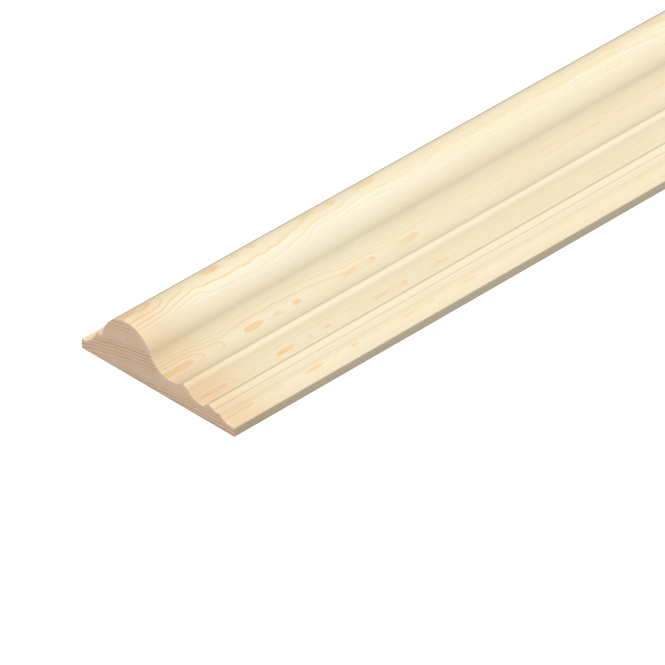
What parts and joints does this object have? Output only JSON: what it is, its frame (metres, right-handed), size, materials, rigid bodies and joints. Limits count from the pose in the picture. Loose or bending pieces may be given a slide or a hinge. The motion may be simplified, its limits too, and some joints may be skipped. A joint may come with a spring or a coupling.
{
  "type": "dado rail",
  "caption": "Planed pine dado rail: a flat-backed wall moulding with a large torus, a main cove, a small ogee, a bead and thin coved edges",
  "frame": {"origin": "middle of the flat back, where it rests on the floor or the wall", "axes": "+X along the rail, +Y across it towards the edge that is uppermost on the wall, +Z out of the wall"},
  "size_m": [2.4, 0.069, 0.02],
  "materials": {
    "pine": "bare planed softwood, matt"
  },
  "bodies": {
    "root": {"dado_rail": "pine"}
  },
  "joints": []
}
